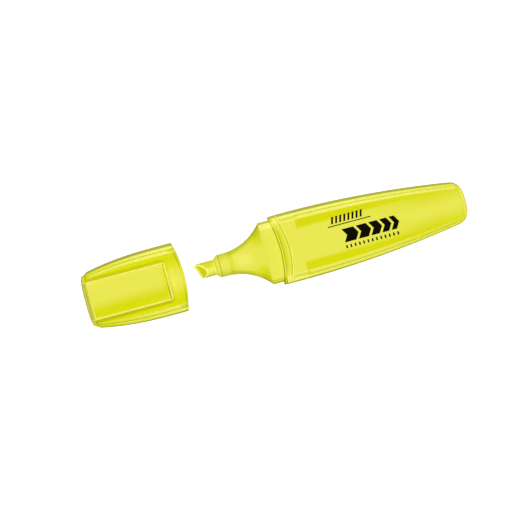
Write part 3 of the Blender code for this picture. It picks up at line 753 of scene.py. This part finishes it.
def section_ring(along, half_width, half_thickness, boxiness=1.0, bow=0.0, scale=INNER_SCALE):
    """Points round the axis: an ellipse at boxiness 0, the flat section at 1."""
    quarter = []
    for (across, height), (turn_across, turn_height) in zip(
            flat_section(half_width, half_thickness, scale), flat_section(*SHOULDER, INNER_SCALE)):
        turn = math.atan2(turn_height / SHOULDER[1], turn_across / SHOULDER[0])
        oval = (half_width * math.cos(turn), half_thickness * math.sin(turn))
        quarter.append((oval[0] + (across - oval[0]) * boxiness,
                        oval[1] + (height - oval[1]) * boxiness))
    half = quarter + [(across, -height) for across, height in reversed(quarter[:-1])]
    ring = half + [(-across, height) for across, height in reversed(half[1:-1])]
    return [(along - (across ** 2 / (2 * bow) if bow else 0.0), across, height)
            for across, height in ring]


nozzle_profile = ((0.0, BORE_RADIUS + 0.12), (0.05, BORE_RADIUS + 0.24), (0.55, 3.82), (0.95, 4.08),
                  (1.30, 4.24), (1.50, 4.30), (1.62, 4.16), (1.74, 4.12), (1.84, 4.16),
                  (1.92, NOZZLE_RADIUS), (2.6, NOZZLE_RADIUS))
rings = [section_ring(NOZZLE_FRONT + along, radius, radius, 0.0) for along, radius in nozzle_profile]
rise = SHOULDER[0] - 0.3 - NOZZLE_RADIUS
thickening = SHOULDER[1] - 0.3 - NOZZLE_RADIUS
flare_radius = (FLARE_LENGTH ** 2 + rise ** 2) / (2 * rise)
for step in range(FLARE_STEPS + 1):
    along = FLARE_LENGTH * step / FLARE_STEPS
    risen = flare_radius - math.sqrt(flare_radius ** 2 - along ** 2)
    share = risen / rise
    rings.append(section_ring(FLARE_FRONT + along, NOZZLE_RADIUS + risen,
                              NOZZLE_RADIUS + thickening * share ** 0.8, share ** 0.5,
                              scale=max(share, 0.05) * INNER_SCALE))
for along, less in ((0.08, 0.17), (0.22, 0.06), (0.42, 0.0), (2.0, 0.0), (4.0, 0.0)):
    rings.append(section_ring(-SHOULDER_LENGTH + along, SHOULDER[0] - less, SHOULDER[1] - less))
# Flange: root line, front lip, groove, hollow face and rear edge, as (along, depth below its top)
SHOULDER_DEPTH = HALF_WIDTH - SHOULDER[0]
flange_profile = ((-0.25, SHOULDER_DEPTH), (-0.12, SHOULDER_DEPTH + 0.1), (0.0, SHOULDER_DEPTH + 0.05),
                  (0.0, 0.30), (0.05, 0.14), (0.20, 0.02), (0.45, 0.0), (0.55, 0.05), (0.62, 0.22),
                  (0.78, 0.24), (0.90, 0.17), (1.50, 0.05), (2.10, 0.0), (3.45, 0.0), (3.62, 0.03),
                  (3.74, 0.10), (3.80, 0.22))
for along, depth in flange_profile:
    bow = MOUTH_BOW + (PARTING_BOW - MOUTH_BOW) * max(along, 0.0) / FLANGE_LENGTH
    on_shoulder = depth > SHOULDER_DEPTH - 0.01
    rings.append(section_ring(along, HALF_WIDTH - depth, HALF_THICKNESS - depth, bow=bow,
                              scale=INNER_SCALE if on_shoulder else 1.0))
rings += [section_ring(FLANGE_LENGTH, *SKIRT, bow=PARTING_BOW),
          section_ring(FLANGE_LENGTH + SKIRT_LENGTH, *SKIRT),
          section_ring(FLANGE_LENGTH + SKIRT_LENGTH, *CAVITY),
          section_ring(-SHOULDER_LENGTH + SECTION_WALL, *CAVITY),
          section_ring(NOZZLE_FRONT + BORE_LENGTH, BORE_RADIUS, BORE_RADIUS, 0.0),
          section_ring(NOZZLE_FRONT + 0.12, BORE_RADIUS, BORE_RADIUS, 0.0),
          section_ring(NOZZLE_FRONT, BORE_RADIUS + 0.08, BORE_RADIUS + 0.08, 0.0)]
section_bm = bmesh.new()
grid = [[section_bm.verts.new(point) for point in ring] for ring in rings]
for row, after in zip(grid, grid[1:] + grid[:1]):
    for index in range(len(row)):
        beside = (index + 1) % len(row)
        section_bm.faces.new((row[index], after[index], after[beside], row[beside]))


def section_tone(tree, spot):
    """Pale down the middle, with a painted sheen and painted shade at the sides of the flare, darker
    patches before the shoulder, painted highlights and shade on the shoulder and flange, a neck line,
    and painted shade in the nozzle's ring and the flange's lines.
    """
    along = maths(tree, "SUBTRACT", spot["Along"], FLANGE_X)
    square = maths(tree, "POWER", spot["Off Axis"], 2.0)
    front_bow, parting_bow, rear_bow = 0.5 / MOUTH_BOW, 1 / 62, 1 / 60

    def line(bow, start, end, start_blur, end_blur, strength):
        bowed = maths(tree, "MULTIPLY_ADD", square, bow, along)
        return maths(tree, "MULTIPLY", band(tree, bowed, start, end, start_blur, end_blur), strength)

    # Painted shade towards the flare's sides
    wide = maths(tree, "MULTIPLY_ADD", maths(tree, "MAXIMUM", along, FLARE_FRONT), 0.33, 10.6)
    side = node(tree, "MapRange", {0: maths(tree, "DIVIDE", spot["Off Axis"], wide), 1: 0.30, 2: 1.2},
                interpolation_type="SMOOTHSTEP").outputs[0]
    flare = band(tree, along, FLARE_FRONT + 2.6, -6.05, 1.0, 0.15)
    flare_side = maths(tree, "MULTIPLY", flare, maths(tree, "MULTIPLY", side, 0.62))
    tone = maths(tree, "SUBTRACT", 0.82, flare_side)
    # Darker patches on the flare just before the shoulder
    flare_dark_patches = maths(tree, "MULTIPLY", band(tree, along, -9.2, -6.05, 2.6, 0.15),
                 band(tree, spot["Off Axis"], start=3.8, start_blur=2.4))
    # A painted sheen down the middle of the flare
    sheen = maths(tree, "MULTIPLY", band(tree, along, -16.0, -11.5, 3.0, 3.0),
                  band(tree, spot["Off Axis"], end=1.9, end_blur=3.2))
    tone = maths(tree, "ADD", tone, maths(tree, "MULTIPLY", sheen, 0.6))
    tone = maths(tree, "SUBTRACT", tone, maths(tree, "MULTIPLY", flare_dark_patches, 0.55))
    on_shoulder = band(tree, along, -6.0, -0.4, 0.3, 0.3)
    on_flange = band(tree, along, -0.4, 3.0, 0.3, 0.3)
    # Painted shade on the flange's hollow face, near the middle
    hollow = maths(tree, "MULTIPLY", line(front_bow, 0.7, 2.0, 0.2, 1.3, 0.85),
                   band(tree, spot["Off Axis"], end=7.6, end_blur=3.0))
    # Painted shade on the shoulder's near side, painted highlights on its far side and at the flange's
    # ends
    near_side = maths(tree, "MULTIPLY", on_shoulder,
                      band(tree, spot["Across"], end=-9.9, end_blur=0.7))
    far_side = maths(tree, "MULTIPLY", on_shoulder, band(tree, spot["Across"], 9.0, 11.0, 0.4, 0.4))
    flange_side = maths(tree, "MULTIPLY", on_flange,
                        band(tree, spot["Off Axis"], 9.8, 12.2, 0.8, 0.4))
    # Darker lines: the neck, painted shade in the flange's groove and root and the nozzle's ring, and a
    # dark parting line
    neck = line(0.02, -19.6, -17.9, 1.1, 0.35, 0.6)
    flange_groove = line(front_bow, 0.60, 0.92, 0.1, 0.1, 1.2)
    flange_root = line(front_bow, -0.25, 0.12, 0.1, 0.1, 1.6)
    parting = line(parting_bow, 2.98, 3.34, 0.12, 0.12, 1.5)
    ring = line(0.0, NOZZLE_FRONT + 1.46, NOZZLE_FRONT + 1.90, 0.12, 0.12, 1.3)
    for dark in (neck, hollow, flange_groove, flange_root, parting, ring, near_side):
        tone = maths(tree, "SUBTRACT", tone, dark)
    # Painted highlights on the flange's rear edge and the nozzle's lip
    parting_edge = line(rear_bow, 3.38, 3.80, 0.12, 0.1, 0.9)
    nozzle_lip = line(0.0, NOZZLE_FRONT + 0.55, NOZZLE_FRONT + 1.40, 0.2, 0.15, 0.6)
    for bright in (parting_edge, maths(tree, "MULTIPLY", far_side, 0.9),
                   maths(tree, "MULTIPLY", flange_side, 0.95), nozzle_lip):
        tone = maths(tree, "ADD", tone, bright)
    return tone


# A stronger painted glow over a darker body lifts the flare's shaded sides
section_finish = plastic_material("section_plastic_finish", section_tone,
                                  gloss=0.48, glow=0.38, body=0.80)
finish_mesh(section_bm, "section_body", (FLANGE_X, 0.0, AXIS_Z), section_finish,
            body="pen", node_name="front_section")


# -----------------------------------------------------------------------------
# Nib. A rod of bonded fibre ground to a slanted chisel. The writing edge is worn pale, the rims of
# the ground faces carry a painted highlight, and the faces themselves are dark with ink.
# -----------------------------------------------------------------------------
nib_low, nib_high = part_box("nib")
NIB_RADIUS = nib_high.y / MM
NIB_SLANT = math.radians(21.5)
NIB_WEDGE = math.radians(39.0)
NIB_LAND = 0.7
WORN_DEPTH = 0.75                # how much of the long corner has worn away
nib_length = (nib_high.x - nib_low.x) / MM
nib_bm = turn_profile(
    [(0.0, 0.0), (NIB_RADIUS, 0.0), (NIB_RADIUS, 4.0), (NIB_RADIUS, 10.0),
     (NIB_RADIUS, nib_length - 0.8), (NIB_RADIUS - 0.8, nib_length), (0.0, nib_length)], segments=96)
forward = Vector((-math.cos(NIB_SLANT), -math.sin(NIB_SLANT), 0.0))
long_corner = Vector((0.0, NIB_RADIUS, 0.0))
worn_corner = Vector((-0.64, 0.77, 0.0))
cuts = [(long_corner, forward)]
for side in (1.0, -1.0):
    cuts.append((long_corner + Vector((0.0, 0.0, side * NIB_LAND / 2)),
                 forward * math.sin(NIB_WEDGE) + Vector((0.0, 0.0, side * math.cos(NIB_WEDGE)))))
cuts.append((long_corner - worn_corner * WORN_DEPTH, worn_corner))
for point, normal in cuts:
    cut = bmesh.ops.bisect_plane(nib_bm, geom=nib_bm.verts[:] + nib_bm.edges[:] + nib_bm.faces[:],
                                 plane_co=point, plane_no=normal, clear_outer=True)
    edges = [item for item in cut["geom_cut"] if isinstance(item, bmesh.types.BMEdge)]
    bmesh.ops.contextual_create(nib_bm, geom=edges)
nib_bm.normal_update()
for face in nib_bm.faces:
    for index, (point, normal) in enumerate(cuts):
        distance = (face.calc_center_median() - point).dot(normal)
        if abs(face.normal.dot(normal)) > 0.9999 and abs(distance) < 1e-3:
            face.material_index = 2 if index in (1, 2) else 1
rims = [edge for edge in nib_bm.edges
        if len({face.material_index for face in edge.link_faces}) > 1]
# The bevelled rims take the pale finish as a painted highlight
bmesh.ops.bevel(nib_bm, geom=rims, offset=0.30, segments=4, profile=0.5, affect="EDGES", material=1)


def near_side_highlight(tree, spot):
    """A painted highlight: the near side of the rod is paler."""
    return maths(tree, "MULTIPLY", band(tree, spot["Across"], -2.2, 0.6, end_blur=2.4), 0.55)


def writing_edge(tree, spot):
    """A strip along the chisel's edge."""
    back = maths(tree, "MULTIPLY", maths(tree, "SUBTRACT", spot["Along"], nib_low.x / MM),
                 math.cos(NIB_SLANT))
    across = maths(tree, "MULTIPLY", maths(tree, "SUBTRACT", spot["Across"], NIB_RADIUS),
                   math.sin(NIB_SLANT))
    return band(tree, maths(tree, "ADD", back, across), end=0.80, end_blur=0.15)


# The rod carries a painted highlight down its near side
body_finish = fibre_material("nib_fibre", pale=(0.80, 0.80, 0.05), soaked=(0.68, 0.70, 0.0),
                             width=0.16, glow=0.28, pale_where=near_side_highlight)
# Pale fibre: worn on the writing edge, a painted highlight on the rims
worn_and_highlit_finish = fibre_material("nib_worn_and_highlit_fibre", pale=(0.96, 0.91, 0.24), soaked=(0.88, 0.85, 0.12),
                             width=0.10, glow=0.36)
face_finish = fibre_material("nib_ground_face", pale=(0.73, 0.73, 0.01), soaked=(0.62, 0.64, 0.0),
                             width=0.12, glow=0.20, pale_where=writing_edge)
nib = finish_mesh(nib_bm, "chisel_nib", (nib_low.x / MM, 0.0, AXIS_Z), body_finish,
                  body="pen", node_name="nib")
nib.data.materials.append(worn_and_highlit_finish)
nib.data.materials.append(face_finish)


# -----------------------------------------------------------------------------
# Printed mark. Black pad-printed ink on the barrel's face: a plain pattern of chevrons that get
# thinner, like strokes of less and less pressure, with rows of ticks and a rule.
# -----------------------------------------------------------------------------
INK_THICKNESS = 0.03
CHEVRON_WIDTHS = (4.4, 3.8, 3.2, 2.6, 2.0)
CHEVRON_START, CHEVRON_GAP = 25.2, 0.95
RULE_START, RULE_END = 20.6, 36.8


def chevron(left, bottom, width, height, point):
    """Corners of a right-pointing chevron, point long."""
    right, top, middle = left + width, bottom + height, bottom + height / 2
    return [(left, bottom), (right, bottom), (right + point, middle), (right, top), (left, top),
            (left + point, middle)]


def slanted_bar(left, bottom, width, height, lean):
    return [(left, bottom), (left + width, bottom), (left + width + lean, bottom + height),
            (left + lean, bottom + height)]


printed = []
left = CHEVRON_START
for width in CHEVRON_WIDTHS:
    printed.append(chevron(left, bottom=-3.3, width=width, height=5.0, point=1.5))
    left += width + CHEVRON_GAP
printed += [slanted_bar(22.0 + 1.55 * step, 4.4, 0.75, 2.6, 0.7) for step in range(8)]
printed.append([(RULE_START, 3.45), (RULE_END, 3.45), (RULE_END, 3.80), (RULE_START, 3.80)])
printed += [slanted_bar(25.3 + 1.62 * step, -5.55, 0.60, 1.20, 0.0) for step in range(13)]
print_bm = bmesh.new()
for outline in printed:
    flat = print_bm.faces.new([print_bm.verts.new((*point, -0.01)) for point in outline])
    raised = bmesh.ops.extrude_face_region(print_bm, geom=[flat])["geom"]
    bmesh.ops.translate(print_bm, vec=(0.0, 0.0, INK_THICKNESS),
                        verts=[item for item in raised if isinstance(item, bmesh.types.BMVert)])
print_finish, tree, shader = new_material("black_pad_ink")
spot = place_group(tree, place)
pinholes = noise(tree, spot["Point"], scale=5.0, detail=4.0)
surface(tree, shader, mix_colours(tree, pinholes, (0.002, 0.0015, 0.0), (0.006, 0.004, 0.0)),
        maths(tree, "MULTIPLY_ADD", pinholes, 0.3, 0.35), pinholes, relief=0.2, depth=0.01)
shader.inputs["Specular IOR Level"].default_value = 0.04
finish_mesh(print_bm, "printed_mark", (0.0, 0.0, AXIS_Z + HALF_THICKNESS), print_finish, body="pen")


# -----------------------------------------------------------------------------
# Table, lights and camera. The pen lies on a pale sheet of back-lit acrylic, with two long
# softboxes over it, and the camera looks almost straight down.
# -----------------------------------------------------------------------------
floor_bm = bmesh.new()
bmesh.ops.create_grid(floor_bm, x_segments=8, y_segments=8, size=4.0)
floor_mesh = bpy.data.meshes.new("table")
floor_bm.to_mesh(floor_mesh)
floor_bm.free()
floor = bpy.data.objects.new("table", floor_mesh)
bpy.context.scene.collection.objects.link(floor)
floor_finish, tree, shader = new_material("pale_acrylic")
spot = place_group(tree, place)
haze = noise(tree, spot["Point"], scale=0.02, detail=2.0)
tree.links.new(mix_colours(tree, haze, (0.25, 0.25, 0.25), (0.28, 0.28, 0.28)),
               shader.inputs["Base Color"])
lit_from_below = maths(tree, "MULTIPLY", node(tree, "LightPath").outputs["Is Camera Ray"], 1.10)
tree.links.new(lit_from_below, shader.inputs["Emission Strength"])
shader.inputs["Roughness"].default_value = 0.9
shader.inputs["Specular IOR Level"].default_value = 0.1
shader.inputs["Emission Color"].default_value = (1.0, 1.0, 1.0, 1.0)
floor_mesh.materials.append(floor_finish)

for name, side, energy in (("softbox_far", 1.0, 8.91), ("softbox_near", -1.0, 6.48)):
    light = bpy.data.lights.new(name, "AREA")
    light.shape = "RECTANGLE"
    light.size = 1.4
    light.size_y = 0.32
    light.energy = energy
    lamp = bpy.data.objects.new(name, light)
    lamp.location = (0.0, side * 0.60, 1.15)
    lamp.rotation_euler = (-lamp.location).to_track_quat("-Z", "Y").to_euler()
    bpy.context.scene.collection.objects.link(lamp)

world = bpy.data.worlds.new("studio")
world.use_nodes = True
bpy.context.scene.world = world
tree = world.node_tree
background = tree.nodes["Background"]
seen = node(tree, "LightPath").outputs["Is Camera Ray"]
tree.links.new(maths(tree, "MULTIPLY_ADD", seen, 0.93, 0.07), background.inputs["Strength"])
background.inputs["Color"].default_value = (1.0, 1.0, 1.0, 1.0)

bpy.context.scene.view_settings.view_transform = "Standard"

camera_data = bpy.data.cameras.new("camera")
camera_data.lens = 200.0
camera_data.sensor_width = 36.0
camera = bpy.data.objects.new("camera", camera_data)
bpy.context.scene.collection.objects.link(camera)
bpy.context.scene.camera = camera
FIELD = 188.5 * MM               # width of the picture at the pen
ROLL = math.radians(15.0)        # the pen climbs to the right by this much
LEAN_X, LEAN_Y = math.radians(-1.0), math.radians(2.1)
target = Vector((-7.45 * MM, 0.2 * MM, 10.0 * MM))
away = Vector((math.tan(LEAN_X), math.tan(LEAN_Y), 1.0)).normalized()
camera.location = target + away * (FIELD * camera_data.lens / camera_data.sensor_width)
picture_up = Vector((math.sin(ROLL), math.cos(ROLL), 0.0))
right = picture_up.cross(away).normalized()
up = away.cross(right)
facing = Matrix((right, up, away)).transposed().to_4x4()
camera.matrix_world = Matrix.Translation(camera.location) @ facing
